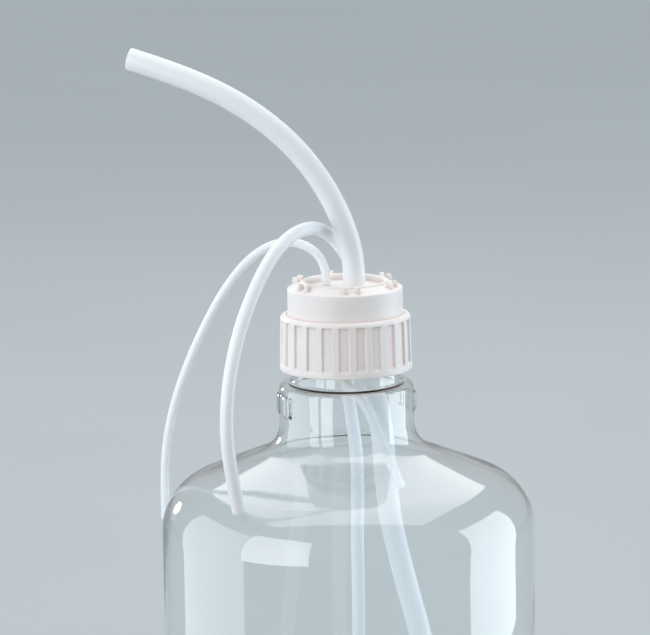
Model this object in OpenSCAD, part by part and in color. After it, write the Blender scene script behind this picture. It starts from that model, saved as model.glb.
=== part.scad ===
// Clear carboy with a screw collar and a three-port closure with flexible tubes.
// Millimetres. Z is up, the bottle stands on Z = 0, and its axis is the Z axis.

/* [Bottle] */
// Outside diameter of the body
body_d = 271; // [262:1:280]
// Height of the straight wall above the floor
wall_top = 336; // [300:1:370]
// Thickness of the moulded wall
wall = 3; // [2.5:0.1:3.6]
// Radius of the knuckle between wall and shoulder
knuckle_r = 42; // [36:1:46]
// Slope of the shoulder above the horizontal
shoulder_slope = 22; // [19:1:25]
// Radius of the heel at the foot of the wall
heel_r = 20; // [14:1:24]
// Inside diameter of the flat ring that the bottle stands on
foot_in_d = 200; // [184:1:206]
// Height of the push-up in the middle of the base
push_up = 12; // [8:1:16]

/* [Neck] */
// Diameter of the finish at the root of its thread
finish_d = 80; // [77:0.5:83]
// Height of the finish from the neck's ledge to the lip
finish_h = 41; // [38:0.5:44]
// Width of the ledge between the finish and the neck
ledge_w = 8.8; // [7.5:0.1:10]
// Height of the neck's straight part
neck_straight = 24; // [20:0.5:30]
// Radius of the blend from shoulder to neck
neck_blend_r = 22; // [16:1:26]
// Radius of the neck's rounded upper edge
ledge_r = 6.5; // [5:0.5:7]
// Share of the circle that each neck lug takes, in degrees
lug_span = 38; // [20:1:50]
// Height of each neck lug
lug_h = 14.5; // [9:0.5:15]
// How far each neck lug stands out
lug_out = 1.6; // [1:0.1:3]
// Turn of the two neck lugs from left and right towards front and back
lug_turn = 16; // [0:1:40]

/* [Closure] */
// Height of the screw collar
collar_h = 40.5; // [38:0.1:43]
// Number of grip ribs round the collar
rib_count = 24; // [16:1:32]
// Width of each grip rib
rib_w = 5.2; // [3.6:0.1:6]
// Depth of the panels between the ribs
rib_depth = 1.6; // [1:0.1:2]
// How much wider the collar is at its foot than at its top, on the radius
collar_draft = 0.8; // [0.2:0.1:1.2]
// Radius of the collar's upper edge
collar_round = 3.4; // [2.5:0.1:4]
// Turn of the grip ribs from the front, in degrees
rib_turn = 6; // [0:0.5:15]
// Height of the drum's upright side above the collar
tier_h = 18.7; // [12:0.1:24]
// Height of the cone from the drum's side in to the rim
cone_h = 4.2; // [3:0.1:5]
// Height of the rim above the cone
rim_h = 1; // [1:0.1:2]
// Diameter of the well inside the rim
well_d = 57; // [52:0.5:62]
// Depth of the well below the rim
well_depth = 4.8; // [3:0.1:6]
// Number of pairs of wrench nubs round the rim
nub_pairs = 6; // [3:1:9]
// Angle between the two nubs of a pair
nub_gap = 13.5; // [10:0.5:18]
// Width of each wrench nub
nub_w = 2.6; // [2:0.1:4]
// Thickness of the neck gasket
gasket_t = 2; // [1.5:0.1:3]

/* [Tubes] */
// Outside diameter of the fill tube
fill_od = 15.9; // [14:0.1:17]
// Bore of the fill tube
fill_id = 12.7; // [11:0.1:13]
// Outside diameter of the sample tube
sample_od = 9.5; // [8.5:0.1:11]
// Bore of the sample tube
sample_id = 6.4; // [5:0.1:7]
// Outside diameter of the vent tube
vent_od = 6.4; // [5.6:0.1:7]
// Bore of the vent tube
vent_id = 3.2; // [2.8:0.1:4]
// Gap between the bottle's floor and the fill dip tube
dip_gap = 11; // [8:1:30]

/* [Hidden] */
$fn = 96;

// Colours of the clear shell, the white closure, the milky tubes and the gasket
clear_tint = [0.75, 0.85, 0.90, 0.35];
closure_white = [0.94, 0.93, 0.90];
tube_milk = [0.88, 0.90, 0.92];
gasket_grey = [0.80, 0.80, 0.78];

// Clearances: parts that turn past each other, parts that slip together, and what rests on the bottle
turn_gap = 0.2;
slip_gap = 0.3;
rest_gap = 0.5;

// Radii of the bottle
body_r = body_d / 2;
finish_r = finish_d / 2;
neck_r = finish_r + ledge_w;
dome_r = (pow(foot_in_d / 2, 2) + push_up * push_up) / (2 * push_up);

// The shoulder: where the knuckle ends, and the centre of the blend into the neck
knuckle_c = [body_r - knuckle_r, wall_top];
slope_out = [sin(shoulder_slope), cos(shoulder_slope)];
slope_up = [-cos(shoulder_slope), sin(shoulder_slope)];
slope_start = knuckle_c + knuckle_r * slope_out;
blend_x = neck_r + neck_blend_r;
blend_run = (blend_x - slope_start.x - neck_blend_r * slope_out.x) / slope_up.x;
blend_c = slope_start + neck_blend_r * slope_out + blend_run * slope_up;

// Heights up the neck and the closure
neck_top = blend_c.y + neck_straight + ledge_r;
lip_z = neck_top + finish_h;
flange_t = 3;
flange_z = lip_z + gasket_t;
flange_top = flange_z + flange_t;
lip_t = 3.3;
lip_under = flange_top + turn_gap;
collar_top = lip_under + lip_t;
collar_z = collar_top - collar_h;
tier_top = collar_top + tier_h;
rim_foot = tier_top + cone_h;
rim_top = rim_foot + rim_h;
deck_t = 3;
deck_top = rim_top - well_depth;
deck_under = deck_top - deck_t;

// Radii of the closure, worked outward from the thread and back inward to the insert
thread_room = 3.4;
collar_wall = 2.5;
collar_bore_r = finish_r + thread_room;
collar_r = collar_bore_r + collar_wall + rib_depth + collar_draft / 2;
collar_top_r = collar_r - collar_draft;
flange_r = collar_bore_r - slip_gap;
catch_w = 1.1;
lip_bore_r = flange_r - catch_w;
tier_r = lip_bore_r - slip_gap;
insert_wall = 3.1;
insert_bore_r = tier_r - insert_wall;
rim_w = 3;
rim_r = well_d / 2 + rim_w;
edge_r = 0.9;

// The snap bead on the insert and the seat for it in the collar's lip
seat_depth = 1.4;
seat_r = lip_bore_r + 0.9;
bead_r = seat_r - slip_gap;
bead_h = 0.9;
bead_z = collar_top - seat_depth + turn_gap;

// Collar bands above and below the grip panels
top_band = 3.7;
foot_band = 5;
foot_chamfer = 1.2;

// Nubs on the cone: how far they stay in from the drum's side, their length, how far they rise above the rim,
// and where the first pair stands
nub_back = 2.6;
nub_l = 4.2;
nub_up = 1;
nub_turn = 37.5;

// Ports on the deck: where each one stands, and how far its stems reach
fill_port = [6.5, -8];
sample_port = [5, 13];
vent_port = [-13.5, 9];
fill_stem = 12;
sample_stem = 8;
vent_stem = 5;
stem_slack = 0.35;
barb_slack = 0.12;
barb_h = 2;

// Where the free ends rest: the sample tube on the knuckle, the vent tube beside the wall
sample_rest_r = knuckle_c.x + knuckle_r * cos(45);
sample_rest_z = knuckle_c.y + knuckle_r * sin(45) + sample_od * 0.35 + rest_gap;
vent_rest_r = body_r + vent_od / 2 + 2 * rest_gap;

// Routes as steps from the port on the deck. The outer tubes rise and fall in millimetres.
fill_route = [[0, 0, 0], [0, 0, 14], [-12, -2, 59], [-41, -1, 102.5], [-92.4, 6, 141], [-159.4, 19, 166.5]];
sample_route = [[0, 0, 0], [0, 0, 9], [-11.5, -8, 33], [-27, -32, 46], [-49, -66, 40], [-70, -94, 8],
                [-84, -112, -34], [-89, -119, -88], [-84, -112, -131], [-82, -109, -144]];
vent_route = [[0, 0, 0], [0, 0, 6], [-6, 1.5, 22], [-24, 5.5, 30.5], [-47, 11, 24], [-69, 16, 2],
              [-94, 21.5, -42], [-112, 25.5, -87], [-121, 27.5, -132], [-122, 28, -162], [-122, 28, -178]];
vent_drop_route = [[0, 0, 0], [0, 0, -7], [3, -11, -40], [10, -24, -60], [21, -31, -72], [37, -37, -104],
                   [52, -40, -141]];
// The dip tubes fall in parts of the way from the deck down to the floor
fill_dip_route = [[0, 0, 0], [0, 0, 0.03], [15, 2, 0.16], [22, 2, 0.30], [41, 2, 0.48],
                  [70, 2, 0.77], [90, 2, 1]];
sample_dip_route = [[0, 0, 0], [0, 0, 0.02], [-4, -0.5, 0.14], [1.5, -2, 0.24], [2, -3, 0.33],
                    [1.5, -4, 0.50], [1.5, -5, 0.75], [2, -5, 0.975]];
tube_sides = 12;

// Points along an arc of a circle, with both ends
function arc(c, r, a0, a1, n = 10) =
    [for (i = [0 : n]) let (a = a0 + (a1 - a0) * i / n) c + r * [cos(a), sin(a)]];

function reversed(list) = [for (i = [len(list) - 1 : -1 : 0]) list[i]];

// The bottle's outline from the middle of the base up to the lip, moved inward by t
function bottle_outline(t) = concat(
    arc([0, push_up - dome_r], dome_r + t, 90, asin((dome_r + t - push_up) / (dome_r + t)), 6),
    arc([body_r - heel_r, heel_r], heel_r - t, -90, 0, 8),
    arc(knuckle_c, knuckle_r - t, 0, 90 - shoulder_slope, 12),
    arc(blend_c, neck_blend_r + t, -90 - shoulder_slope, -180, 8),
    arc([neck_r - ledge_r, neck_top - ledge_r], ledge_r - t, 0, 90, 6),
    [[finish_r - t, neck_top - t], [finish_r - t, lip_z]]);

// How far along the way d, from the point p, a circle of radius r round the axis lies
function reach_to(p, d, r) = let (a = d * d, b = p * d, c = p * p - r * r) (-b + sqrt(b * b - a * c)) / a;

// A route in the shared frame: steps sideways times reach, and downward steps times drop
function laid(port, z, route, reach = 1, drop = 1) =
    [for (p = route) [port.x + p.x * reach, port.y + p.y * reach, z + (p.z < 0 ? p.z * drop : p.z)]];

function last(list) = list[len(list) - 1];
function flat(p) = [p.x, p.y];

// A smooth curve through the points, which keeps the first stretch straight
function curve_at(a, b, c, d, t) =
    0.5 * (2 * b + (c - a) * t + (2 * a - 5 * b + 4 * c - d) * t * t + (3 * b - a - 3 * c + d) * t * t * t);
function smooth(p, steps) = let (n = len(p) - 1) concat([p[0]],
    [for (i = [1 : n - 1]) for (k = [0 : steps - 1])
        curve_at(p[i - 1], p[i], p[i + 1], p[min(i + 2, n)], k / steps)],
    [p[n]]);

function unit(v) = v / norm(v);
function way_at(p, i) = i == 0 ? unit(p[1] - p[0]) : i == len(p) - 1 ? unit(p[i] - p[i - 1])
    : unit(unit(p[i + 1] - p[i]) + unit(p[i] - p[i - 1]));

// A ring of points round a route point, square to the route; side is the level way across the route
function ring(c, way, side, r, n) = let (u = unit(cross(side, way)), v = cross(way, u))
    [for (j = [0 : n - 1]) c + r * (u * cos(360 * j / n) + v * sin(360 * j / n))];

// A flexible tube with its bore, swept along a route
module tube(route, od, id, steps) {
    path = smooth(route, steps);
    n = tube_sides;
    m = len(path);
    side = unit(cross([0, 0, 1], last(path) - path[0]));
    bore_r = id / 2 / cos(180 / n);
    outer = [for (i = [0 : m - 1]) each ring(path[i], way_at(path, i), side, od / 2, n)];
    inner = [for (i = [0 : m - 1]) each ring(path[i], way_at(path, i), side, bore_r, n)];
    walls = [for (i = [0 : m - 2]) for (j = [0 : n - 1])
        let (a = i * n + j, b = i * n + (j + 1) % n, h = m * n)
        each [[a, a + n, b], [b, a + n, b + n], [h + a, h + b, h + a + n], [h + b, h + b + n, h + a + n]]];
    ends = [for (j = [0 : n - 1])
        let (k = (j + 1) % n, h = m * n, e = (m - 1) * n)
        each [[j, k, h + j], [k, h + k, h + j], [e + j, h + e + j, e + k], [e + k, h + e + j, h + e + k]]];
    color(tube_milk) polyhedron(concat(outer, inner), concat(walls, ends), convexity = 8);
}

// One port: a barbed stem above the deck and another below
module port_stem(id, reach) {
    stem_r = id / 2 - stem_slack;
    barb_r = id / 2 - barb_slack;
    for (up = [0, 1])
        translate([0, 0, up ? deck_top : deck_under])
            mirror([0, 0, 1 - up]) {
                translate([0, 0, -deck_t / 2]) cylinder(r = stem_r, h = reach + deck_t / 2);
                for (k = [1, 2])
                    translate([0, 0, reach - k * barb_h])
                        cylinder(r1 = barb_r, r2 = stem_r, h = barb_h * 0.8);
            }
}

module port_bore(id, reach) {
    bore_r = (id / 2 - stem_slack) * 0.7;
    translate([0, 0, deck_under - reach - 1]) cylinder(r = bore_r, h = deck_t + 2 * reach + 2);
}

module at_port(p) {
    translate([p.x, p.y, 0]) children();
}

// Blow-moulded shell with the neck lugs
module bottle() {
    lug_top = neck_top - ledge_r - 2;
    lug_root = neck_r - wall / 2;
    color(clear_tint) {
        rotate_extrude() polygon(concat(bottle_outline(0), reversed(bottle_outline(wall))));
        for (a = [0, 180])
            rotate([0, 0, a + lug_turn - lug_span / 2]) rotate_extrude(angle = lug_span)
                translate([lug_root, lug_top - lug_h]) square([wall / 2 + lug_out, lug_h]);
    }
}

// Flat ring between the bottle's lip and the insert's flange
module neck_gasket() {
    color(gasket_grey) translate([0, 0, lip_z]) difference() {
        cylinder(r = flange_r - slip_gap, h = gasket_t);
        translate([0, 0, -1]) cylinder(r = finish_r - wall + slip_gap, h = gasket_t + 2);
    }
}

// Ribbed ring that screws on the finish and turns on the insert's flange
module screw_collar() {
    panel_z = collar_z + foot_band;
    panel_h = collar_h - foot_band - top_band;
    foot_r = collar_r - rib_depth - collar_draft * foot_band / collar_h;
    head_r = collar_r - rib_depth - collar_draft * (foot_band + panel_h) / collar_h;
    color(closure_white) difference() {
        rotate_extrude() polygon(concat(
            [[collar_bore_r, collar_z], [collar_r - foot_chamfer, collar_z]],
            arc([collar_r - foot_chamfer, collar_z + foot_chamfer], foot_chamfer, -90, 0, 3),
            arc([collar_top_r - collar_round, collar_top - collar_round], collar_round, 0, 90, 6),
            [[seat_r, collar_top], [seat_r, collar_top - seat_depth], [lip_bore_r, collar_top - seat_depth],
             [lip_bore_r, lip_under], [collar_bore_r, lip_under]]));
        difference() {
            rotate_extrude() polygon([[foot_r, panel_z], [collar_r + 2, panel_z],
                                      [collar_r + 2, panel_z + panel_h], [head_r, panel_z + panel_h]]);
            for (i = [0 : rib_count - 1])
                rotate([0, 0, i * 360 / rib_count + rib_turn])
                    translate([head_r - 2, -rib_w / 2, panel_z - 1])
                        cube([rib_depth + 6, rib_w, panel_h + 2]);
        }
    }
}

// Drum with a flange below, a nubbed cone and a rim above, and three stems through its deck
module port_insert() {
    color(closure_white) difference() {
        union() {
            rotate_extrude() polygon(concat(
                [[0, deck_top], [well_d / 2, deck_top]],
                arc([well_d / 2 + edge_r, rim_top - edge_r], edge_r, 180, 90, 3),
                arc([rim_r - edge_r, rim_top - edge_r], edge_r, 90, 0, 3),
                [[rim_r, rim_foot], [tier_r, tier_top], [tier_r, bead_z + bead_h],
                 [bead_r, bead_z + bead_h / 2], [bead_r, bead_z], [tier_r, bead_z], [tier_r, flange_top],
                 [flange_r, flange_top], [flange_r, flange_z], [insert_bore_r, flange_z],
                 [insert_bore_r, deck_under], [0, deck_under]]));
            for (i = [0 : nub_pairs - 1]) for (k = [-0.5, 0.5])
                rotate([0, 0, i * 360 / nub_pairs + nub_turn + k * nub_gap])
                    translate([tier_r - nub_back - nub_l, -nub_w / 2, tier_top])
                        cube([nub_l, nub_w, cone_h + rim_h + nub_up]);
            at_port(fill_port) port_stem(fill_id, fill_stem);
            at_port(sample_port) port_stem(sample_id, sample_stem);
            at_port(vent_port) port_stem(vent_id, vent_stem);
        }
        at_port(fill_port) port_bore(fill_id, fill_stem);
        at_port(sample_port) port_bore(sample_id, sample_stem);
        at_port(vent_port) port_bore(vent_id, vent_stem);
    }
}

// Large tube that curves up and away to its bare end
module fill_tube() {
    tube(laid(fill_port, deck_top, fill_route), fill_od, fill_id, 2);
}

// Middle tube that arches over and comes to rest on the shoulder
module sample_tube() {
    end = last(sample_route);
    reach = reach_to(sample_port, flat(end), sample_rest_r);
    drop = (sample_rest_z - deck_top) / end.z;
    tube(laid(sample_port, deck_top, sample_route, reach, drop), sample_od, sample_id, 2);
}

// Thin tube that arches over and hangs beside the wall
module vent_tube() {
    end = last(vent_route);
    reach = reach_to(vent_port, flat(end), vent_rest_r);
    tube(laid(vent_port, deck_top, vent_route, reach), vent_od, vent_id, 2);
}

// Large tube inside, from the deck to the far side of the floor
module fill_dip_tube() {
    fall = deck_under - wall - dip_gap;
    route = [for (p = fill_dip_route) [p.x, p.y, -p.z * fall]];
    tube(laid(fill_port, deck_under, route), fill_od, fill_id, 2);
}

// Middle tube inside, straight down to the push-up
module sample_dip_tube() {
    fall = deck_under - wall - push_up;
    route = [for (p = sample_dip_route) [p.x, p.y, -p.z * fall]];
    tube(laid(sample_port, deck_under, route), sample_od, sample_id, 2);
}

// Thin tube inside, cut short below the neck
module vent_drop_tube() {
    tube(laid(vent_port, deck_under, vent_drop_route), vent_od, vent_id, 2);
}

bottle();
neck_gasket();
screw_collar();
port_insert();
fill_tube();
sample_tube();
vent_tube();
fill_dip_tube();
sample_dip_tube();
vent_drop_tube();
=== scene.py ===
import bmesh
import bpy
import numpy as np
from mathutils import Matrix


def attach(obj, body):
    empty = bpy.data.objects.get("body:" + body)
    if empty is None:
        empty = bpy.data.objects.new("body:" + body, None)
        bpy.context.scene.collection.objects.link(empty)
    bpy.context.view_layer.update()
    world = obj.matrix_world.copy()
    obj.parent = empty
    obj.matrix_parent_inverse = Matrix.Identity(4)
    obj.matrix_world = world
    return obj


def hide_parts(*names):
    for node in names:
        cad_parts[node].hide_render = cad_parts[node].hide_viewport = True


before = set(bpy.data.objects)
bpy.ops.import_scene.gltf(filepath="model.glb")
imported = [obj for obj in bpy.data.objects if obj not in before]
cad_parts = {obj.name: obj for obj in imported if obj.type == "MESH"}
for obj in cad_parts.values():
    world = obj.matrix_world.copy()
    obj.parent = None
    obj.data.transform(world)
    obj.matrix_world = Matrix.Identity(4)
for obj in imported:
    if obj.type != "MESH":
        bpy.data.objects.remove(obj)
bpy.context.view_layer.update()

mm = 0.001

# the camera that gives the photo's view
cameraView = {
    "position": (0.0, -2.958, 1.0183),
    "aim": (-0.0147, 0.0, 0.4908),
    "lens": 230.3,
    "sensor": 36.0,
    "rollDegrees": -0.9,
}


def makeCamera(view):
    # right, up and back of a camera looking from position to aim, then turned about that line by the roll
    position, aim = np.array(view["position"]), np.array(view["aim"])
    ahead = (aim - position) / np.linalg.norm(aim - position)
    right = np.cross(ahead, (0.0, 0.0, 1.0))
    right /= np.linalg.norm(right)
    up = np.cross(right, ahead)
    cosRoll, sinRoll = np.cos(np.radians(view["rollDegrees"])), np.sin(np.radians(view["rollDegrees"]))
    right, up = right * cosRoll + up * sinRoll, up * cosRoll - right * sinRoll
    data = bpy.data.cameras.new("photoCamera")
    data.sensor_fit = "HORIZONTAL"
    data.sensor_width = view["sensor"]
    data.lens = view["lens"]
    data.clip_end = 100
    camera = bpy.data.objects.new("photoCamera", data)
    bpy.context.collection.objects.link(camera)
    axes = np.stack([right, up, -ahead, position], axis=1)
    camera.matrix_world = Matrix(np.vstack([axes, (0, 0, 0, 1)]).tolist())
    bpy.context.scene.camera = camera


makeCamera(cameraView)
print("camera set")


# meshes from grids
sharpAngle = 40.0  # degrees between faces at which an edge stays sharp


def smoothStep(low, high, value):
    # 0 below low, 1 above high, and an S curve between them
    t = np.clip((value - low) / (high - low), 0.0, 1.0)
    return t * t * (3.0 - 2.0 * t)


def gridQuads(rows, cols, wrapRows):
    # four corners for each cell of a grid that closes round its columns, and round its rows where asked
    row = np.arange(rows if wrapRows else rows - 1)[:, None]
    col = np.arange(cols)[None, :]
    nextRow, nextCol = (row + 1) % rows, (col + 1) % cols
    corners = (row * cols + col, row * cols + nextCol, nextRow * cols + nextCol, nextRow * cols + col)
    return np.stack(np.broadcast_arrays(*corners), axis=-1).reshape(-1, 4)


def poleFan(ring, pole, flip):
    # triangles from a ring of point numbers to one point in its middle
    fan = np.stack([ring, np.roll(ring, -1), np.full(len(ring), pole)], axis=1)
    return fan[:, ::-1] if flip else fan


def capFans(rows, cols):
    # fans that close the first and the last row of a grid to the two points that follow its own
    ring = np.arange(cols)
    return np.concatenate([poleFan(ring, rows * cols, True),
                           poleFan((rows - 1) * cols + ring, rows * cols + 1, False)])


def smoothMesh(mesh):
    mesh.shade_smooth()
    mesh.set_sharp_from_angle(angle=np.radians(sharpAngle))


def makeMesh(name, points, quads, fans=None, uv=None):
    # one mesh from whole arrays, turned inside out if the volume under its faces comes out negative
    tris = np.empty((0, 3), int) if fans is None else fans
    halves = np.concatenate([quads[:, [0, 1, 2]], quads[:, [0, 2, 3]], tris])
    a, b, c = (points[halves[:, k]] for k in range(3))
    if np.einsum("ij,ij->", a, np.cross(b, c)) < 0:
        quads, tris = quads[:, ::-1], tris[:, ::-1]
        uv = None if uv is None else uv.reshape(-1, 4, 2)[:, ::-1].reshape(-1, 2)
    mesh = bpy.data.meshes.new(name)
    corners = np.concatenate([quads.ravel(), tris.ravel()]).astype(np.int32)
    starts = np.concatenate([np.arange(len(quads)) * 4, len(quads) * 4 + np.arange(len(tris)) * 3])
    mesh.vertices.add(len(points))
    mesh.vertices.foreach_set("co", np.ascontiguousarray(points, np.float32).ravel())
    mesh.loops.add(len(corners))
    mesh.loops.foreach_set("vertex_index", corners)
    mesh.polygons.add(len(starts))
    mesh.polygons.foreach_set("loop_start", starts.astype(np.int32))
    if uv is not None:
        mesh.uv_layers.new(name="along").data.foreach_set("uv", np.ascontiguousarray(uv, np.float32).ravel())
    mesh.update(calc_edges=True)
    mesh.validate()
    smoothMesh(mesh)
    return mesh


def addPiece(name, mesh, body, node, material):
    piece = bpy.data.objects.new(name, mesh)
    bpy.context.collection.objects.link(piece)
    piece.data.materials.append(material)
    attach(piece, body)
    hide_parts(node)
    print(name, "faces", len(mesh.polygons))
    return piece


def arcPoints(centre, radius, start, end, count):
    # count points along an arc from the start angle to the end angle, in degrees
    a = np.radians(np.linspace(start, end, count))
    return np.stack([centre[0] + radius * np.cos(a), centre[1] + radius * np.sin(a)], axis=1)


def linePoints(start, end, count):
    # points along a straight line, without its two ends
    t = np.linspace(0.0, 1.0, count + 2)[1:-1, None]
    return np.array(start) + (np.array(end) - np.array(start)) * t


# materials
noiseMiddle = (0.3, 0.7)  # most of a noise lies between these


def newMaterial(name):
    material = bpy.data.materials.new(name)
    material.use_nodes = True
    nodes = material.node_tree.nodes
    return material, nodes, material.node_tree.links, nodes["Principled BSDF"]


def noiseOn(nodes, links, source, scale, detail=2.0):
    noise = nodes.new("ShaderNodeTexNoise")
    noise.inputs["Scale"].default_value = scale
    noise.inputs["Detail"].default_value = detail
    links.new(source, noise.inputs["Vector"])
    return noise.outputs["Fac"]


def ranged(nodes, links, source, low, high):
    # spreads the middle of a noise over low to high
    node = nodes.new("ShaderNodeMapRange")
    node.inputs["From Min"].default_value = noiseMiddle[0]
    node.inputs["From Max"].default_value = noiseMiddle[1]
    node.inputs["To Min"].default_value = low
    node.inputs["To Max"].default_value = high
    links.new(source, node.inputs["Value"])
    return node.outputs["Result"]


def twoTone(nodes, links, source, first, second):
    # one colour at the low end of a noise, the other at its high end
    ramp = nodes.new("ShaderNodeValToRGB")
    for stop, position, colour in zip(ramp.color_ramp.elements, noiseMiddle, (first, second)):
        stop.position = position
        stop.color = (*colour, 1.0)
    links.new(source, ramp.inputs["Fac"])
    return ramp.outputs["Color"]


def bumped(nodes, links, shader, source, strength, distance):
    # a bump on top of the ones that the shader already has
    bump = nodes.new("ShaderNodeBump")
    bump.inputs["Strength"].default_value = strength
    bump.inputs["Distance"].default_value = distance
    before = shader.inputs["Normal"]
    if before.is_linked:
        links.new(before.links[0].from_socket, bump.inputs["Normal"])
    links.new(source, bump.inputs["Height"])
    links.new(bump.outputs["Normal"], before)


def passLamps(nodes, links, shader, tint):
    # lamp light goes straight through each surface, dimmed and tinted
    film = nodes.new("ShaderNodeBsdfTransparent")
    film.inputs["Color"].default_value = (*tint, 1.0)
    mix = nodes.new("ShaderNodeMixShader")
    links.new(nodes.new("ShaderNodeLightPath").outputs["Is Shadow Ray"], mix.inputs["Fac"])
    links.new(shader.outputs["BSDF"], mix.inputs[1])
    links.new(film.outputs["BSDF"], mix.inputs[2])
    links.new(mix.outputs["Shader"], nodes["Material Output"].inputs["Surface"])


# scale is noise cells in a metre; a bump is its strength and its height in metres
clearLook = {
    "tint": (0.955, 0.978, 0.985),
    "ior": 1.58,
    "roughness": (0.012, 0.045), "hazeScale": 45.0,
    "lampTint": (0.86, 0.90, 0.92),
    "waveScale": 16.0, "waveBump": (0.25, 0.0012),
}


def makeClearShell(look):
    # moulded clear polycarbonate: smooth glass with slow waves and a trace of haze; lamps pass through it
    material, nodes, links, shader = newMaterial("clearShell")
    place = nodes.new("ShaderNodeTexCoord").outputs["Object"]
    shader.inputs["Base Color"].default_value = (*look["tint"], 1.0)
    shader.inputs["Transmission Weight"].default_value = 1.0
    shader.inputs["IOR"].default_value = look["ior"]
    haze = noiseOn(nodes, links, place, look["hazeScale"], 3.0)
    links.new(ranged(nodes, links, haze, *look["roughness"]), shader.inputs["Roughness"])
    waves = noiseOn(nodes, links, place, look["waveScale"], 1.0)
    bumped(nodes, links, shader, waves, *look["waveBump"])
    passLamps(nodes, links, shader, look["lampTint"])
    return material


closureLook = {
    "shade": (0.868, 0.838, 0.83),
    "light": (0.908, 0.884, 0.88),
    "cloudScale": 60.0,
    # painted shade colour for creases and recesses, and how far the occlusion looks for the piece around
    "paintedCreaseShade": (0.45, 0.35, 0.285), "paintedShadeReach": 0.005,
    "roughness": (0.34, 0.50), "patchScale": 240.0,
    "glow": 0.22, "glowRadius": (1.0, 0.85, 0.75), "glowScale": 0.0015,
    "grainScale": 1800.0, "grainBump": (0.18, 0.00006),
    "sinkScale": 90.0, "sinkBump": (0.2, 0.0004),
    "lampTint": (0.76, 0.61, 0.49),
}


def makeWhiteClosure(look):
    # satin polypropylene: a warm white that varies a little, painted beige shade in its creases and recesses,
    # a soft glow and the grain of the mould
    material, nodes, links, shader = newMaterial("whiteClosure")
    place = nodes.new("ShaderNodeTexCoord").outputs["Object"]
    cloud = noiseOn(nodes, links, place, look["cloudScale"], 3.0)
    # painted shade: beside a step and in the recesses the white goes beige, by how much of the space around
    # is taken up by the piece itself
    paintedShadeAO = nodes.new("ShaderNodeAmbientOcclusion")
    paintedShadeAO.only_local, paintedShadeAO.samples = True, 12
    paintedShadeAO.inputs["Distance"].default_value = look["paintedShadeReach"]
    toneWithPaintedShade = nodes.new("ShaderNodeMix")
    toneWithPaintedShade.data_type = "RGBA"
    links.new(paintedShadeAO.outputs["AO"], toneWithPaintedShade.inputs["Factor"])
    toneWithPaintedShade.inputs[6].default_value = (*look["paintedCreaseShade"], 1.0)
    links.new(twoTone(nodes, links, cloud, look["shade"], look["light"]), toneWithPaintedShade.inputs[7])
    links.new(toneWithPaintedShade.outputs[2], shader.inputs["Base Color"])
    patches = noiseOn(nodes, links, place, look["patchScale"], 3.0)
    links.new(ranged(nodes, links, patches, *look["roughness"]), shader.inputs["Roughness"])
    shader.inputs["Subsurface Weight"].default_value = look["glow"]
    shader.inputs["Subsurface Radius"].default_value = look["glowRadius"]
    shader.inputs["Subsurface Scale"].default_value = look["glowScale"]
    bumped(nodes, links, shader, noiseOn(nodes, links, place, look["grainScale"], 2.0), *look["grainBump"])
    bumped(nodes, links, shader, noiseOn(nodes, links, place, look["sinkScale"], 2.0), *look["sinkBump"])
    passLamps(nodes, links, shader, look["lampTint"])  # thin walls let some warm light reach the inside
    return material


tubeLook = {
    "core": (0.89, 0.95, 0.995),
    "light": (0.92, 0.965, 0.998),
    "cloudScale": 70.0,
    "ior": 1.42,
    "roughness": (0.26, 0.36), "through": 0.04,
    "lineStretch": (1.5, 22.0, 1.0), "lineBump": (0.05, 0.0001),
    "glow": 0.25, "glowRadius": (0.9, 1.0, 1.0), "glowScale": 0.002,
    "edge": 0.5, "edgeRoughness": 0.3,
}


def makeMilkyTube(look):
    # milky flexible tube: cloudy body, whiter edges, and fine draw lines that run along it
    material, nodes, links, shader = newMaterial("milkyTube")
    coords = nodes.new("ShaderNodeTexCoord")
    cloud = noiseOn(nodes, links, coords.outputs["Object"], look["cloudScale"], 3.0)
    links.new(twoTone(nodes, links, cloud, look["core"], look["light"]), shader.inputs["Base Color"])
    stretch = nodes.new("ShaderNodeMapping")
    stretch.inputs["Scale"].default_value = look["lineStretch"]
    links.new(coords.outputs["UV"], stretch.inputs["Vector"])
    drawLines = noiseOn(nodes, links, stretch.outputs["Vector"], 1.0, 2.0)
    links.new(ranged(nodes, links, drawLines, *look["roughness"]), shader.inputs["Roughness"])
    bumped(nodes, links, shader, drawLines, *look["lineBump"])
    shader.inputs["IOR"].default_value = look["ior"]
    shader.inputs["Transmission Weight"].default_value = look["through"]
    shader.inputs["Subsurface Weight"].default_value = look["glow"]
    shader.inputs["Subsurface Radius"].default_value = look["glowRadius"]
    shader.inputs["Subsurface Scale"].default_value = look["glowScale"]
    shader.inputs["Sheen Weight"].default_value = look["edge"]
    shader.inputs["Sheen Roughness"].default_value = look["edgeRoughness"]
    return material


rubberLook = {
    "shade": (0.58, 0.57, 0.54),
    "light": (0.68, 0.67, 0.64),
    "bloomScale": 160.0,
    "roughness": (0.5, 0.75),
    "grainScale": 1500.0, "grainBump": (0.2, 0.00008),
}


def makeGasketRubber(look):
    # pale silicone with a dusty bloom
    material, nodes, links, shader = newMaterial("gasketRubber")
    place = nodes.new("ShaderNodeTexCoord").outputs["Object"]
    bloom = noiseOn(nodes, links, place, look["bloomScale"], 4.0)
    links.new(twoTone(nodes, links, bloom, look["shade"], look["light"]), shader.inputs["Base Color"])
    links.new(ranged(nodes, links, bloom, *look["roughness"]), shader.inputs["Roughness"])
    bumped(nodes, links, shader, noiseOn(nodes, links, place, look["grainScale"]), *look["grainBump"])
    return material


clearShell = makeClearShell(clearLook)
whiteClosure = makeWhiteClosure(closureLook)
milkyTube = makeMilkyTube(tubeLook)
gasketRubber = makeGasketRubber(rubberLook)
print("materials made")

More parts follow.
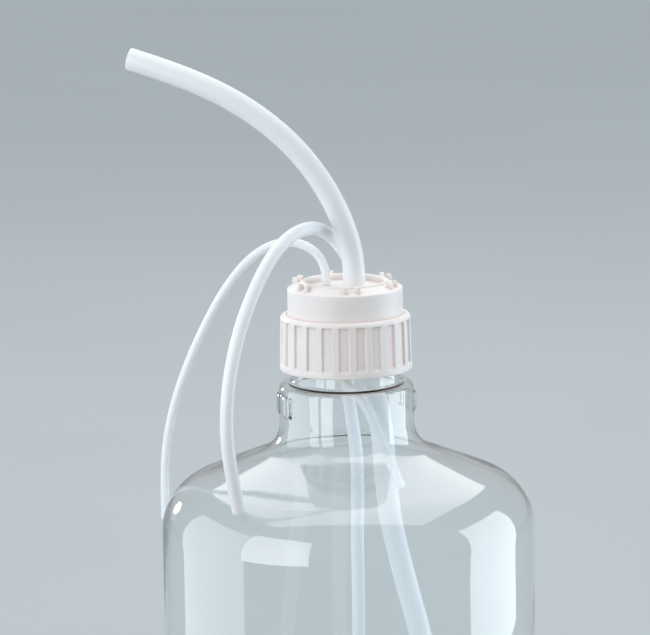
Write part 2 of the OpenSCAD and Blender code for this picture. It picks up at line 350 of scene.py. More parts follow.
# the six tubes, each with its route in metres from the deck outward
tubes = {
    "fillTube": {
        "node": "fill_tube", "outer": 15.9, "bore": 12.7,
        "stiffness": "stiff", "lay": "loose", "slant": 1.0,
        "route": [(0.0065, -0.0080, 0.5132), (0.0065, -0.0080, 0.5272), (-0.0055, -0.0100, 0.5722),
                  (-0.0345, -0.0090, 0.6157), (-0.0859, -0.0020, 0.6542), (-0.1529, 0.0110, 0.6797)],
    },
    "sampleTube": {
        "node": "sample_tube", "outer": 9.5, "bore": 6.4,
        "stiffness": "stiff", "lay": "hanging", "slant": 0.4,
        "route": [(0.0050, 0.0130, 0.5132), (0.0050, 0.0130, 0.5222), (-0.0065, 0.0050, 0.5462),
                  (-0.0220, -0.0190, 0.5592), (-0.0440, -0.0531, 0.5532), (-0.0651, -0.0811, 0.5212),
                  (-0.0791, -0.0991, 0.4793), (-0.0841, -0.1061, 0.4254), (-0.0791, -0.0991, 0.3825),
                  (-0.0771, -0.0961, 0.3695)],
    },
    "ventTube": {
        "node": "vent_tube", "outer": 6.4, "bore": 3.2,
        "stiffness": "stiff", "lay": "hanging", "slant": 0.3,
        "route": [(-0.0135, 0.0090, 0.5132), (-0.0135, 0.0090, 0.5192), (-0.0195, 0.0105, 0.5352),
                  (-0.0374, 0.0145, 0.5437), (-0.0602, 0.0199, 0.5372), (-0.0821, 0.0249, 0.5152),
                  (-0.1069, 0.0304, 0.4712), (-0.1248, 0.0343, 0.4262), (-0.1338, 0.0363, 0.3812),
                  (-0.1348, 0.0368, 0.3512), (-0.1348, 0.0368, 0.3352)],
    },
    "fillDipTube": {
        "node": "fill_dip_tube", "outer": 15.9, "bore": 12.7,
        "stiffness": "stiff", "lay": "hanging", "slant": 0.8,
        "route": [(0.0065, -0.0080, 0.5102), (0.0065, -0.0080, 0.4953), (0.0215, -0.0060, 0.4308),
                  (0.0285, -0.0060, 0.3613), (0.0475, -0.0060, 0.2720), (0.0765, -0.0060, 0.1281),
                  (0.0965, -0.0060, 0.0140)],
    },
    "sampleDipTube": {
        "node": "sample_dip_tube", "outer": 9.5, "bore": 6.4,
        "stiffness": "stiff", "lay": "hanging", "slant": 0.4,
        "route": [(0.0050, 0.0130, 0.5102), (0.0050, 0.0130, 0.5003), (0.0010, 0.0125, 0.4409),
                  (0.0065, 0.0110, 0.3914), (0.0070, 0.0100, 0.3468), (0.0065, 0.0090, 0.2626),
                  (0.0065, 0.0080, 0.1388), (0.0070, 0.0080, 0.0274)],
    },
    "ventDropTube": {
        "node": "vent_drop_tube", "outer": 6.4, "bore": 3.2,
        "stiffness": "stiff", "lay": "hanging", "slant": 0.3,
        "route": [(-0.0135, 0.0090, 0.5102), (-0.0135, 0.0090, 0.5032), (-0.0105, -0.0020, 0.4702),
                  (-0.0035, -0.0150, 0.4502), (0.0075, -0.0220, 0.4382), (0.0235, -0.0280, 0.4062),
                  (0.0385, -0.0310, 0.3692)],
    },
}
tubeSides = 32
tubeEdge = 0.35 * mm  # rounding of the cut ends
tubeStep = 0.5 * mm   # between points of the route's curve
uvPerMetre = 10.0


def splineThrough(points, spacing):
    # a cubic through every point with an even bend, by chord length; it leaves the first point straight
    # towards the second and ends free of bend at the last
    points = np.array(points)
    gaps = np.linalg.norm(np.diff(points, axis=0), axis=1)
    knots = np.concatenate([[0.0], np.cumsum(gaps)])
    count = len(points)
    system, right = np.zeros((count, count)), np.zeros((count, 3))
    inner = np.arange(1, count - 1)
    system[inner, inner - 1] = gaps[1:]
    system[inner, inner] = 2.0 * (gaps[:-1] + gaps[1:])
    system[inner, inner + 1] = gaps[:-1]
    slopes = np.diff(points, axis=0) / gaps[:, None]
    right[inner] = 3.0 * (gaps[1:, None] * slopes[:-1] + gaps[:-1, None] * slopes[1:])
    system[0, 0], right[0] = 1.0, slopes[0]
    system[-1, -1], system[-1, -2], right[-1] = 2.0, 1.0, 3.0 * slopes[-1]
    ways = np.linalg.solve(system, right)
    along = np.linspace(0.0, knots[-1], int(round(knots[-1] / spacing)) + 1)
    part = np.clip(np.searchsorted(knots, along, side="right") - 1, 0, count - 2)
    t = ((along - knots[part]) / gaps[part])[:, None]
    h = gaps[part][:, None]
    return ((2 * t**3 - 3 * t**2 + 1) * points[part] + (t**3 - 2 * t**2 + t) * h * ways[part]
            + (3 * t**2 - 2 * t**3) * points[part + 1] + (t**3 - t**2) * h * ways[part + 1])


def makeTube(name, spec):
    # the wall's own section, outer side out and bore back, is carried along the route, a ring for each point
    outer, bore = spec["outer"] / 2 * mm, spec["bore"] / 2 * mm
    line = splineThrough(spec["route"], tubeStep)
    length = np.concatenate([[0.0], np.cumsum(np.linalg.norm(np.diff(line, axis=0), axis=1))])
    total = length[-1]
    run = np.linspace(tubeEdge, total - tubeEdge, int(total / (0.2 * spec["outer"] * mm)))
    small = 0.3 * tubeEdge
    farEnd = [(total - small, outer - small), (total, outer - tubeEdge), (total, bore + tubeEdge),
              (total - small, bore + small)]
    nearEnd = [(small, bore + small), (0.0, bore + tubeEdge), (0.0, outer - tubeEdge), (small, outer - small)]
    section = np.concatenate([np.stack([run, np.full_like(run, outer)], axis=1), farEnd,
                              np.stack([run[::-1], np.full_like(run, bore)], axis=1), nearEnd])
    turn = np.linspace(0.0, 2.0 * np.pi, tubeSides, endpoint=False)[None, :]
    s, r = section[:, :1], section[:, 1:]
    cut = smoothStep(total - 3.0 * outer, total, s) * spec["slant"] * mm  # the end is cut a little askew
    place = s - cut * (1.0 + np.cos(turn + 0.6)) * 0.5
    grip = 1.0 + 0.02 * np.exp(-(((s - 0.9 * outer) / (0.5 * outer)) ** 2))  # swells over the barbs
    oval = 1.0 + 0.012 * np.cos(2.0 * turn) * smoothStep(outer, 4.0 * outer, s)
    radius = r * grip * oval
    way = np.gradient(line, axis=0)
    way /= np.linalg.norm(way, axis=1)[:, None]
    centre = np.stack([np.interp(place, length, line[:, k]) for k in range(3)], axis=-1)
    ahead = np.stack([np.interp(place, length, way[:, k]) for k in range(3)], axis=-1)
    side = np.cross((0.0, 0.0, 1.0), line[-1] - line[0])
    side /= np.linalg.norm(side)
    first = np.cross(side, ahead)
    first /= np.linalg.norm(first, axis=-1, keepdims=True)
    second = np.cross(ahead, first)
    points = centre + radius[..., None] * (first * np.cos(turn)[..., None] + second * np.sin(turn)[..., None])
    rows = len(section)
    quads = gridQuads(rows, tubeSides, True)
    alongUv = np.concatenate([section[:, 0], section[:1, 0]])
    rowAt, colAt = np.meshgrid(np.arange(rows), np.arange(tubeSides), indexing="ij")
    uvRow = np.stack([rowAt, rowAt, rowAt + 1, rowAt + 1], axis=-1).ravel()
    uvCol = np.stack([colAt, colAt + 1, colAt + 1, colAt], axis=-1).ravel()
    roundUv = np.abs(1.0 - 2.0 * uvCol / tubeSides)  # out and back, so no seam shows
    uv = np.stack([alongUv[uvRow] * uvPerMetre, roundUv], axis=1)
    mesh = makeMesh(name, points.reshape(-1, 3), quads, uv=uv)
    piece = addPiece(name, mesh, "closure", spec["node"], milkyTube)
    print(name, "is", round(total * 1000), "mm long")
    return piece


for tubeName, tubeSpec in tubes.items():
    makeTube(tubeName, tubeSpec)

# clear bottle, in millimetres
bottle = {
    "body": 135.5, "wallTop": 336.0, "wall": 3.0, "knuckle": 42.0, "slope": 22.0, "heel": 20.0,
    "footInner": 100.0, "pushUp": 12.0, "neck": 48.8, "neckBlend": 22.0, "neckStraight": 24.0, "ledge": 6.5,
    "finish": 40.0, "finishHeight": 41.0, "lipRound": 0.9,
    "lugSpan": 38.0, "lugTurn": 16.0, "lugHeight": 14.5, "lugDrop": 8.5, "lugOut": 1.6,
    "lugTeeth": 6, "toothDepth": 0.5,
    "rootRound": 2.0, "throatRound": 5.0, "boreRow": 14.0, "seam": 0.12,
    "waves": 0.22, "wavesFrom": (18.0, 50.0), "wavesTo": (395.0, 430.0),
    "threadOut": 2.2, "threadLead": 6.0, "threadStart": 462.0, "threadTurns": 2.2,
    "outerRows": {"base": 14, "arc": 14, "wall": 26, "neck": 27},
    "innerRows": {"base": 12, "arc": 12, "wall": 26, "neck": 6},
}


def bottleOutline(dims, inward, rows):
    # base dome, heel, wall, knuckle, sloping shoulder, neck and ledge, moved inward by the wall's thickness
    slope = np.radians(dims["slope"])
    out, up = np.array([np.sin(slope), np.cos(slope)]), np.array([-np.cos(slope), np.sin(slope)])
    knuckleAt = np.array([dims["body"] - dims["knuckle"], dims["wallTop"]])
    slopeFrom = knuckleAt + dims["knuckle"] * out
    blendX = dims["neck"] + dims["neckBlend"]
    run = (blendX - slopeFrom[0] - dims["neckBlend"] * out[0]) / up[0]
    blendAt = slopeFrom + dims["neckBlend"] * out + run * up
    neckTop = blendAt[1] + dims["neckStraight"] + dims["ledge"]
    dome = (dims["footInner"] ** 2 + dims["pushUp"] ** 2) / (2.0 * dims["pushUp"]) + inward
    domeAt = dims["pushUp"] - dome + inward
    footAngle = np.degrees(np.arcsin((inward - domeAt) / dome))
    base = arcPoints((0.0, domeAt), dome, 90.0, footAngle, rows["base"])[1:]
    heel = arcPoints((dims["body"] - dims["heel"], dims["heel"]), dims["heel"] - inward,
                     -90.0, 0.0, rows["arc"])
    knuckle = arcPoints(knuckleAt, dims["knuckle"] - inward, 0.0, 90.0 - dims["slope"], 2 * rows["arc"])
    blend = arcPoints(blendAt, dims["neckBlend"] + inward, -90.0 - dims["slope"], -180.0, rows["arc"])
    ledge = arcPoints((dims["neck"] - dims["ledge"], neckTop - dims["ledge"]), dims["ledge"] - inward,
                      0.0, 90.0, rows["arc"] - 3)
    parts = [base, linePoints(base[-1], heel[0], 2), heel,
             linePoints(heel[-1], knuckle[0], rows["wall"]), knuckle,
             linePoints(knuckle[-1], blend[0], 6), blend,
             linePoints(blend[-1], ledge[0], rows["neck"]), ledge]
    return np.concatenate(parts), neckTop


threadShape = {"flank": (0.55, 1.7), "fade": 0.12}  # flat and foot of the ridge in mm, fade in turns


def threadRidge(z, angle, start, lead, turns):
    # height of a helical ridge: full on the helix, gone above and below it, and faded at both ends
    fade = threadShape["fade"]
    climb = z - start - lead * angle / (2.0 * np.pi)
    off = (climb + lead / 2.0) % lead - lead / 2.0
    turned = (climb - off) / lead + angle / (2.0 * np.pi)
    ends = smoothStep(0.0, fade, turned) * (1.0 - smoothStep(turns - fade, turns, turned))
    return ends * (1.0 - smoothStep(*threadShape["flank"], np.abs(off)))


def bottleAngles(dims):
    # columns round the bottle in degrees from the middle of a lug, closer together over the two lugs
    coarse, fine, reach = 66, 64, dims["lugSpan"] / 2.0 + 1.0
    marks = [(-reach, reach, fine), (reach, 180.0 - reach, coarse), (180.0 - reach, 180.0 + reach, fine),
             (180.0 + reach, 360.0 - reach, coarse)]
    return np.concatenate([np.linspace(a, b, n, endpoint=False) for a, b, n in marks])


def turnedPoints(radius, height, angle):
    # radius and height carried round the upright axis, one row for each point of the outline
    radius, height, angle = np.broadcast_arrays(radius, height, angle)
    return np.stack([radius * np.cos(angle), radius * np.sin(angle), height], axis=-1) * mm


def makeBottle(dims):
    # outer radius is the outline plus lugs, seam and thread; inner radius is its own outline less slow waves;
    # the two are carried round the axis as one closed wall
    outerLine, neckTop = bottleOutline(dims, 0.0, dims["outerRows"])
    innerLine, _ = bottleOutline(dims, dims["wall"], dims["innerRows"])
    finish, bore = dims["finish"], dims["finish"] - dims["wall"]
    lipTop, lipRound = neckTop + dims["finishHeight"], dims["lipRound"]
    rootAt = (finish + dims["rootRound"], neckTop + dims["rootRound"])
    root = arcPoints(rootAt, dims["rootRound"], -90.0, -180.0, 5)
    lip = np.concatenate([arcPoints((finish - lipRound, lipTop - lipRound), lipRound, 0.0, 90.0, 5),
                          arcPoints((bore + lipRound, lipTop - lipRound), lipRound, 90.0, 180.0, 5)])
    outerLine = np.concatenate([outerLine, root, linePoints(root[-1], lip[0], 52), lip])
    throatAt = (bore + dims["throatRound"], neckTop - dims["wall"] + dims["throatRound"])
    throat = arcPoints(throatAt, dims["throatRound"], -90.0, -180.0, 9)
    innerLine = np.concatenate([innerLine, throat, [(bore, lipTop - dims["boreRow"])]])
    fromLug = bottleAngles(dims)[None, :]
    angle = np.radians(fromLug + dims["lugTurn"])
    aside = np.abs((fromLug + 90.0) % 180.0 - 90.0)  # degrees round from the middle of the nearer lug
    z, r = outerLine[:, 1:], outerLine[:, :1]
    lugMid = neckTop - dims["lugDrop"] - dims["lugHeight"] / 2.0
    lug = ((1.0 - smoothStep(dims["lugSpan"] / 2 - 1.4, dims["lugSpan"] / 2 + 0.8, aside))
           * (1.0 - smoothStep(dims["lugHeight"] / 2 - 1.0, dims["lugHeight"] / 2 + 0.6, np.abs(z - lugMid))))
    # upright teeth on each lug: a triangle wave cut down from the lug's face
    wave = np.abs((aside * dims["lugTeeth"] / dims["lugSpan"]) % 1.0 - 0.5) * 2.0
    notch = 1.0 - dims["toothDepth"] / dims["lugOut"] * wave
    onNeck = smoothStep(dims["neck"] - 0.1, dims["neck"] - 0.05, r) * (z > dims["wallTop"] + 60.0)
    # the mould parts at the left and the right
    fromSeam = np.abs((angle + np.pi / 2.0) % np.pi - np.pi / 2.0) * r
    seam = dims["seam"] * np.exp(-((fromSeam / 0.9) ** 2)) * smoothStep(4.0, 12.0, z) * (z < neckTop)
    onFinish = (z > neckTop + 1.0) & (r > finish - 0.05)
    thread = threadRidge(z, angle, dims["threadStart"], dims["threadLead"], dims["threadTurns"]) * onFinish
    outerR = r + dims["lugOut"] * lug * notch * onNeck + seam + dims["threadOut"] * thread
    zi, ri = innerLine[:, 1:], innerLine[:, :1]
    # three slow waves round and up the inside, so the wall is a little uneven
    drift = (np.sin(2.0 * angle + 0.7) * np.sin(zi / 70.0 + 0.3)
             + 0.6 * np.sin(3.0 * angle + 2.1) * np.sin(zi / 41.0 + 1.2)
             + 0.4 * np.sin(5.0 * angle - 1.0) * np.sin(zi / 23.0))
    onWall = smoothStep(*dims["wavesFrom"], zi) * (1.0 - smoothStep(*dims["wavesTo"], zi))
    innerR = ri - dims["waves"] * drift * onWall
    radius = np.concatenate([outerR, innerR[::-1]])
    height = np.concatenate([z, zi[::-1]])
    points = turnedPoints(radius, height, angle)
    rows, cols = radius.shape
    under = (0.0, 0.0, dims["pushUp"] * mm)
    inside = (0.0, 0.0, (dims["pushUp"] + dims["wall"]) * mm)
    points = np.concatenate([points.reshape(-1, 3), [under, inside]])
    mesh = makeMesh("carboyShell", points, gridQuads(rows, cols, False), capFans(rows, cols))
    return addPiece("carboyShell", mesh, "bottle", "bottle", clearShell)


shell = makeBottle(bottle)

# soft ring on the lip
gasket = {"inner": 37.3, "outer": 42.8, "low": 485.6, "high": 487.6, "round": 0.45, "sides": 128}


def makeGasket(dims):
    # a flat ring: its rounded section goes round the axis
    e = dims["round"]
    corners = [(dims["outer"] - e, dims["low"] + e, -90.0), (dims["outer"] - e, dims["high"] - e, 0.0),
               (dims["inner"] + e, dims["high"] - e, 90.0), (dims["inner"] + e, dims["low"] + e, 180.0)]
    section = np.concatenate([arcPoints((x, z), e, a, a + 90.0, 5) for x, z, a in corners])
    angle = np.linspace(0.0, 2.0 * np.pi, dims["sides"], endpoint=False)[None, :]
    points = turnedPoints(section[:, :1], section[:, 1:], angle).reshape(-1, 3)
    mesh = makeMesh("lipGasket", points, gridQuads(len(section), angle.size, True))
    return addPiece("lipGasket", mesh, "gasket", "neck_gasket", gasketRubber)


makeGasket(gasket)

# ribbed screw collar
collar = {
    "foot": 453.6, "top": 494.1, "footRadius": 47.9, "topRadius": 47.1, "round": 3.4, "footRound": 1.0,
    "bore": 43.4, "lipUnder": 490.8, "lipBore": 42.0, "seat": 42.9, "seatDepth": 1.4,
    "ribs": 24, "ribTurn": 6.0, "ribWidth": 5.2, "ribDish": 0.10,
    "panelDepth": 1.6, "footBand": 5.0, "topBand": 3.7,
    "threadIn": 2.1, "threadLead": 6.0, "threadStart": 459.0, "threadTurns": 2.2,
}


def makeCollar(dims):
    # outer radius is a slightly tapered side less the panels between the ribs; inner radius is the bore less
    # its thread; the two are carried round the axis as one closed ring
    foot, top, e = dims["foot"], dims["top"], dims["footRound"]
    outer = np.concatenate([
        arcPoints((dims["footRadius"] - e, foot + e), e, -90.0, 0.0, 5),
        linePoints((dims["footRadius"], foot + e), (dims["topRadius"], top - dims["round"]), 46),
        arcPoints((dims["topRadius"] - dims["round"], top - dims["round"]), dims["round"], 0.0, 90.0, 10)])
    mouth = [(dims["bore"] + 0.8, foot), (dims["bore"], foot + 0.8)]
    lip = [(dims["bore"], dims["lipUnder"]), (dims["lipBore"], dims["lipUnder"]),
           (dims["lipBore"], top - dims["seatDepth"]), (dims["seat"], top - dims["seatDepth"]),
           (dims["seat"], top - 0.25), (dims["seat"] + 0.2, top)]
    inner = np.concatenate([mouth, linePoints(mouth[1], lip[0], 48), lip])
    pitch = 360.0 / dims["ribs"]
    half = np.array([0.0, 0.9, 1.8, 2.35, 2.65, 2.9, 3.15, 3.4, 3.75, 4.4, 5.4, 6.5])
    step = np.concatenate([-half[:0:-1], half, [pitch / 2.0]])  # columns of one rib, closest at its edges
    ribAt = np.arange(dims["ribs"])[:, None] * pitch + dims["ribTurn"]
    angle = np.radians((ribAt + step[None, :]).ravel())[None, :]
    offset = np.abs(np.tile(step, dims["ribs"]))[None, :]  # degrees from the middle of the nearest rib
    edge = np.degrees(dims["ribWidth"] / 2.0 / dims["footRadius"])
    between = smoothStep(edge - 0.6, edge + 0.7, offset)
    z, r = outer[:, 1:], outer[:, :1]
    inPanel = (smoothStep(foot + dims["footBand"] - 0.6, foot + dims["footBand"] + 1.4, z)
               * (1.0 - smoothStep(top - dims["topBand"] - 0.5, top - dims["topBand"] + 0.5, z)))
    dish = dims["ribDish"] * np.exp(-((offset / 1.1) ** 2))
    outerR = r - (dims["panelDepth"] * between + dish) * inPanel
    zi, ri = inner[:, 1:], inner[:, :1]
    onBore = (zi > foot + 2.0) & (zi < dims["lipUnder"] - 3.0)
    thread = threadRidge(zi, angle, dims["threadStart"], dims["threadLead"], dims["threadTurns"]) * onBore
    innerR = ri - dims["threadIn"] * thread
    radius = np.concatenate([outerR, innerR[::-1]])
    points = turnedPoints(radius, np.concatenate([z, zi[::-1]]), angle).reshape(-1, 3)
    mesh = makeMesh("ribbedCollar", points, gridQuads(*radius.shape, True))
    return addPiece("ribbedCollar", mesh, "collar", "screw_collar", whiteClosure)


makeCollar(collar)

# drum with the ports
insert = {
    "deckTop": 513.2, "deckUnder": 510.2, "well": 28.5, "rimTop": 518.0, "rimFoot": 517.0, "rim": 31.5,
    "tier": 41.7, "tierTop": 512.8, "beadLow": 492.9, "beadHigh": 493.8, "bead": 42.6,
    "flange": 43.1, "flangeTop": 490.6, "flangeLow": 487.6, "bore": 38.6, "edge": 0.8,
    "nubPairs": 6, "nubGap": 13.5, "nubTurn": 37.5,
    "nubWidth": 2.6, "nubBack": 2.6, "nubLength": 4.2, "nubUp": 1.0,
    "ports": [(6.5, -8.0, 12.7, 12.0), (5.0, 13.0, 6.4, 8.0), (-13.5, 9.0, 3.2, 5.0)],  # x, y, bore, reach
    "stemSlack": 0.35, "barbSlack": 0.12, "barbHeight": 2.0, "stemBore": 0.72, "stemSides": 40,
}
weldDistance, sliverSize = 2e-6, 1e-6


def stemOutline(bore, reach, base, up, dims):
    # a barbed stem from inside the deck to its tip: straight, then two barbs that taper to the tip
    stem, barb, h = bore / 2 - dims["stemSlack"], bore / 2 - dims["barbSlack"], dims["barbHeight"]
    steps = [(stem, -1.5), (stem, reach - 2 * h), (barb, reach - 2 * h + 0.1), (stem, reach - 1.2 * h),
             (stem, reach - h), (barb, reach - h + 0.1), (stem, reach - 0.2 * h), (stem - 0.2, reach)]
    return np.array([(r, base + (t if up else -t)) for r, t in steps])


def makeStems(dims):
    # all the stems as closed turned shapes in one mesh, and the bores that go through them in another
    turn = np.linspace(0.0, 2.0 * np.pi, dims["stemSides"], endpoint=False)[None, :]
    solids, cuts = [], []
    for x, y, bore, reach in dims["ports"]:
        hole = (bore / 2 - dims["stemSlack"]) * dims["stemBore"]
        for up, base in ((True, dims["deckTop"]), (False, dims["deckUnder"])):
            solids.append((x, y, stemOutline(bore, reach, base, up, dims)))
        ends = dims["deckUnder"] - reach - 2.0, dims["deckTop"] + reach + 2.0
        cuts.append((x, y, np.array([(hole, ends[0]), (hole, ends[1])])))
    made = []
    for group in (solids, cuts):
        points, quads, fans, count = [], [], [], 0
        for x, y, outline in group:
            rows, cols = len(outline), turn.size
            ring = turnedPoints(outline[:, :1], outline[:, 1:], turn)
            ends = [(0.0, 0.0, outline[0, 1] * mm), (0.0, 0.0, outline[-1, 1] * mm)]
            shape = np.concatenate([ring.reshape(-1, 3), ends]) + (x * mm, y * mm, 0.0)
            upright = outline[-1, 1] > outline[0, 1]
            q = gridQuads(rows, cols, False)
            f = capFans(rows, cols)
            points.append(shape)
            quads.append((q if upright else q[:, ::-1]) + count)
            fans.append((f if upright else f[:, ::-1]) + count)
            count += len(shape)
        made.append(makeMesh("portStems", *(np.concatenate(part) for part in (points, quads, fans))))
    return made


def cutWith(mesh, tool, operation):
    # joins or cuts one closed mesh with another and gives back the result without slivers
    first, second = bpy.data.objects.new("workA", mesh), bpy.data.objects.new("workB", tool)
    for item in (first, second):
        bpy.context.collection.objects.link(item)
    change = first.modifiers.new("join", "BOOLEAN")
    change.operation, change.object, change.solver = operation, second, "EXACT"
    shape = first.evaluated_get(bpy.context.evaluated_depsgraph_get())
    result = bpy.data.meshes.new_from_object(shape)
    for item in (first, second):
        bpy.data.objects.remove(item)
    work = bmesh.new()
    work.from_mesh(result)
    bmesh.ops.remove_doubles(work, verts=work.verts, dist=weldDistance)
    bmesh.ops.dissolve_degenerate(work, edges=work.edges, dist=sliverSize)
    work.to_mesh(result)
    work.free()
    return result


def makeInsert(dims):
    # the drum's section from the deck up over the rim, down the cone and the side and back under the deck;
    # the last column says how much of the way up to a nub's flat top each point goes
    e, rim, tier, well = dims["edge"], dims["rim"], dims["tier"], dims["well"]
    nubOuter = tier - dims["nubBack"]
    nubInner = nubOuter - dims["nubLength"]

    def plain(points):
        return np.hstack([np.array(points), np.zeros((len(points), 1))])

    def onCone(steps):
        # radii on the cone, each with its share of a nub's height
        r, share = np.array(steps).T
        z = dims["tierTop"] + (dims["rimFoot"] - dims["tierTop"]) * (tier - r) / (tier - rim)
        return np.stack([r, z, share], axis=1)

    section = np.concatenate([
        plain([(r, dims["deckTop"]) for r in np.linspace(1.5, well - 1.0, 9)]),
        plain(arcPoints((well - 1.0, dims["deckTop"] + 1.0), 1.0, -90.0, 0.0, 5)),
        plain(arcPoints((well + e, dims["rimTop"] - e), e, 180.0, 90.0, 5)),
        plain(arcPoints((rim - e, dims["rimTop"] - e), e, 90.0, 10.0, 5)),
        onCone([(rim + 0.2, 0.0), (rim + 1.5, 0.0), (nubInner - 0.1, 0.0), (nubInner, 0.7),
                (nubInner + 0.25, 0.95), (nubInner + 0.6, 1.0), (nubOuter - 0.7, 1.0), (nubOuter - 0.3, 0.95),
                (nubOuter - 0.05, 0.75), (nubOuter + 0.05, 0.0), (tier - 1.2, 0.0), (tier - 0.5, 0.0)]),
        plain([(tier - 0.14, dims["tierTop"] - 0.1), (tier, dims["tierTop"] - 0.6)]),
        plain(linePoints((tier, dims["tierTop"] - 0.6), (tier, dims["beadHigh"]), 6)),
        plain([(tier, dims["beadHigh"]), (dims["bead"], dims["beadHigh"] - 0.4),
               (dims["bead"], dims["beadLow"]), (tier, dims["beadLow"]),
               (tier, dims["flangeTop"]), (dims["flange"] - 0.3, dims["flangeTop"]),
               (dims["flange"], dims["flangeTop"] - 0.3), (dims["flange"], dims["flangeLow"] + 0.3),
               (dims["flange"] - 0.3, dims["flangeLow"]), (dims["bore"] + 0.4, dims["flangeLow"]),
               (dims["bore"], dims["flangeLow"] + 0.4)]),
        plain(linePoints((dims["bore"], dims["flangeLow"] + 0.4),
                         (dims["bore"], dims["deckUnder"] - 1.5), 5)),
        plain(arcPoints((dims["bore"] - 1.5, dims["deckUnder"] - 1.5), 1.5, 0.0, 90.0, 5)),
        plain([(r, dims["deckUnder"]) for r in np.linspace(dims["bore"] - 2.5, 1.5, 9)])])
    pitch, apart = 360.0 / dims["nubPairs"], dims["nubGap"] / 2.0
    edge = np.degrees(dims["nubWidth"] / 2.0 / nubOuter)
    half = np.array([0.0, 0.7, edge - 0.6, edge - 0.35, edge - 0.1, edge + 0.15, edge + 0.4])
    across = np.concatenate([-half[:0:-1], half])
    # columns of one pair, then the same for every pair
    step = np.concatenate([np.linspace(-pitch / 2.0, -apart - edge - 0.9, 9), across - apart,
                           (-2.4, 0.0, 2.4), across + apart,
                           np.linspace(apart + edge + 0.9, pitch / 2.0, 9)[:-1]])
    pairAt = np.arange(dims["nubPairs"])[:, None] * pitch + dims["nubTurn"]
    angle = np.radians((pairAt + step[None, :]).ravel())[None, :]
    fromNub = np.abs(np.abs(np.tile(step, dims["nubPairs"])) - apart)
    nub = 1.0 - smoothStep(edge - 0.6, edge + 0.4, fromNub)[None, :]
    radius, flat = section[:, :1] + 0.0 * angle, section[:, 1:2]
    height = flat + (dims["rimTop"] + dims["nubUp"] - flat) * section[:, 2:3] * nub
    points = turnedPoints(radius, height, angle)
    rows, cols = radius.shape
    poles = [(0.0, 0.0, dims["deckTop"] * mm), (0.0, 0.0, dims["deckUnder"] * mm)]
    points = np.concatenate([points.reshape(-1, 3), poles])
    drum = makeMesh("portDrum", points, gridQuads(rows, cols, False), capFans(rows, cols))
    stems, bores = makeStems(dims)
    mesh = cutWith(cutWith(drum, stems, "UNION"), bores, "DIFFERENCE")
    mesh.materials.clear()
    smoothMesh(mesh)
    return addPiece("portDrum", mesh, "closure", "port_insert", whiteClosure)


makeInsert(insert)

# floor, lamps and world
studio = {
    "floor": (0.32, 0.335, 0.34), "floorSize": 40.0, "floorSeen": (0.20, 0.245, 0.265),
    "floorRoughness": (0.7, 0.85), "floorGloss": 0.2, "mottle": 0.04, "mottleScale": 1.2,
    "world": (0.55, 0.555, 0.56), "worldLevel": 0.9, "lampSpread": 2.5,
    "lamps": {
        # position, point it faces, width, height, watts, colour
        "overhead": ((0.0, 1.3, 2.0), (0.0, 1.29, 0.0), 2.3, 3.6, 34.0, (1.0, 1.0, 1.0)),
        "leftFront": ((-0.834, -0.863, 0.68), (0.0, 0.0, 0.68), 0.92, 1.04, 4.8, (0.975, 0.985, 1.0)),
        "leftSide": ((-0.95, 0.0, 0.48), (0.0, 0.0, 0.48), 0.95, 0.92, 1.5, (0.80, 0.91, 1.0)),
        "rightSide": ((0.95, 0.13, 0.45), (0.0, 0.13, 0.45), 0.78, 0.86, 3.85, (0.81, 0.915, 1.0)),
        "kicker": ((-1.14, 1.52, 0.62), (0.0, 0.0, 0.45), 0.28, 0.28, 2.2, (1.0, 1.0, 1.0)),
        # cards that only the shell mirrors, just behind the lamps
        "leftCard": ((-0.96, 0.0, 0.48), (0.0, 0.0, 0.48), 0.95, 0.92, 3.1, (0.93, 0.965, 1.0)),
        "rightCard": ((0.96, 0.13, 0.45), (0.0, 0.13, 0.45), 0.78, 0.86, 2.8, (0.93, 0.965, 1.0)),
        "frontCard": ((-0.841, -0.870, 0.68), (0.0, 0.0, 0.68), 0.92, 1.04, 5.0, (0.97, 0.98, 1.0)),
    },
}


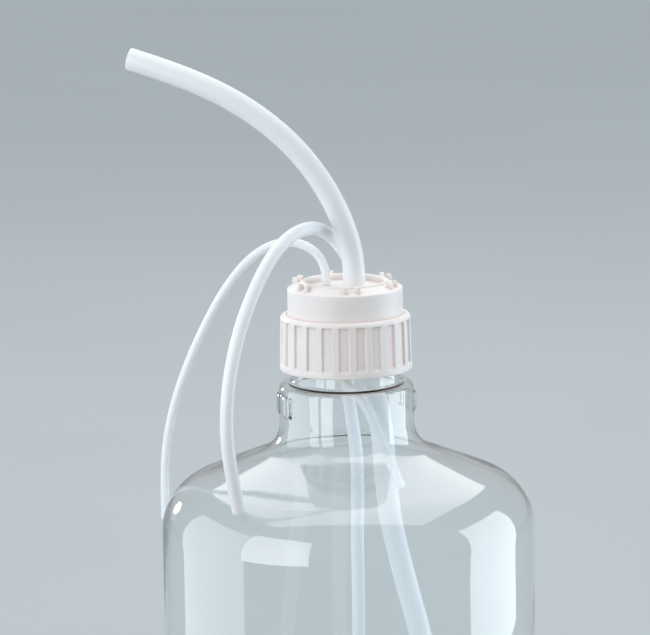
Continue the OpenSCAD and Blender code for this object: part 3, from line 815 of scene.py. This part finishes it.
def makeFloor(look):
    # one pale sheet with a faint mottle
    size = look["floorSize"] / 2.0
    corners = np.array([(-size, -size, 0.0), (size, -size, 0.0), (size, size, 0.0), (-size, size, 0.0)])
    mesh = bpy.data.meshes.new("studioFloor")
    mesh.from_pydata(corners.tolist(), [], [(0, 1, 2, 3)])
    floor = bpy.data.objects.new("studioFloor", mesh)
    bpy.context.collection.objects.link(floor)
    material, nodes, links, shader = newMaterial("studioFloor")
    place = nodes.new("ShaderNodeTexCoord").outputs["Object"]
    mottle = noiseOn(nodes, links, place, look["mottleScale"], 3.0)
    dark, pale = (np.array(look["floor"]) * (1.0 + change) for change in (-look["mottle"], look["mottle"]))
    links.new(twoTone(nodes, links, mottle, dark, pale), shader.inputs["Base Color"])
    links.new(ranged(nodes, links, mottle, *look["floorRoughness"]), shader.inputs["Roughness"])
    shader.inputs["Specular IOR Level"].default_value = look["floorGloss"]
    # seen straight on, through the bottle or mirrored, the floor is lifted to a pale grey
    path = nodes.new("ShaderNodeLightPath")
    seen = path.outputs["Is Camera Ray"]
    for ray in ("Is Glossy Ray", "Is Transmission Ray"):
        either = nodes.new("ShaderNodeMath")
        either.operation = "MAXIMUM"
        links.new(seen, either.inputs[0])
        links.new(path.outputs[ray], either.inputs[1])
        seen = either.outputs["Value"]
    shader.inputs["Emission Color"].default_value = (*look["floorSeen"], 1.0)
    links.new(seen, shader.inputs["Emission Strength"])
    mesh.materials.append(material)
    return floor


def makeLamps(look, floor, shell):
    # area lamps that face their aim, and an even grey world
    unlit = bpy.data.collections.new("offTheFloor")
    unlit.objects.link(floor)
    unlit.collection_objects[0].light_linking.link_state = "EXCLUDE"
    mirrored = bpy.data.collections.new("inTheShell")
    mirrored.objects.link(shell)
    for name, (position, aim, width, height, watts, colour) in look["lamps"].items():
        data = bpy.data.lights.new(name, "AREA")
        data.shape = "ELLIPSE" if name == "kicker" else "RECTANGLE"
        data.size, data.size_y, data.energy, data.color = width, height, watts, colour
        lamp = bpy.data.objects.new(name, data)
        bpy.context.collection.objects.link(lamp)
        if name != "overhead":
            data.spread = look["lampSpread"]  # in radians, as with a grid on a softbox
            lamp.visible_transmission = False  # mirrored by the bottle, not looked at through it
            # lamps are flagged, so no edge of theirs shows on the floor
            lamp.light_linking.receiver_collection = mirrored if name.endswith("Card") else unlit
        back = np.array(position) - np.array(aim)
        back /= np.linalg.norm(back)
        right = np.cross((0.0, 0.0, 1.0), back)
        right /= np.linalg.norm(right)
        axes = np.stack([right, np.cross(back, right), back, position], axis=1)
        lamp.matrix_world = Matrix(np.vstack([axes, (0, 0, 0, 1)]).tolist())
    world = bpy.data.worlds.new("studioWorld")
    world.use_nodes = True
    sky = world.node_tree.nodes["Background"]
    sky.inputs["Color"].default_value = (*look["world"], 1.0)
    sky.inputs["Strength"].default_value = look["worldLevel"]
    bpy.context.scene.world = world


makeLamps(studio, makeFloor(studio), shell)
bpy.context.scene.view_settings.view_transform = "Standard"
print("studio lit")
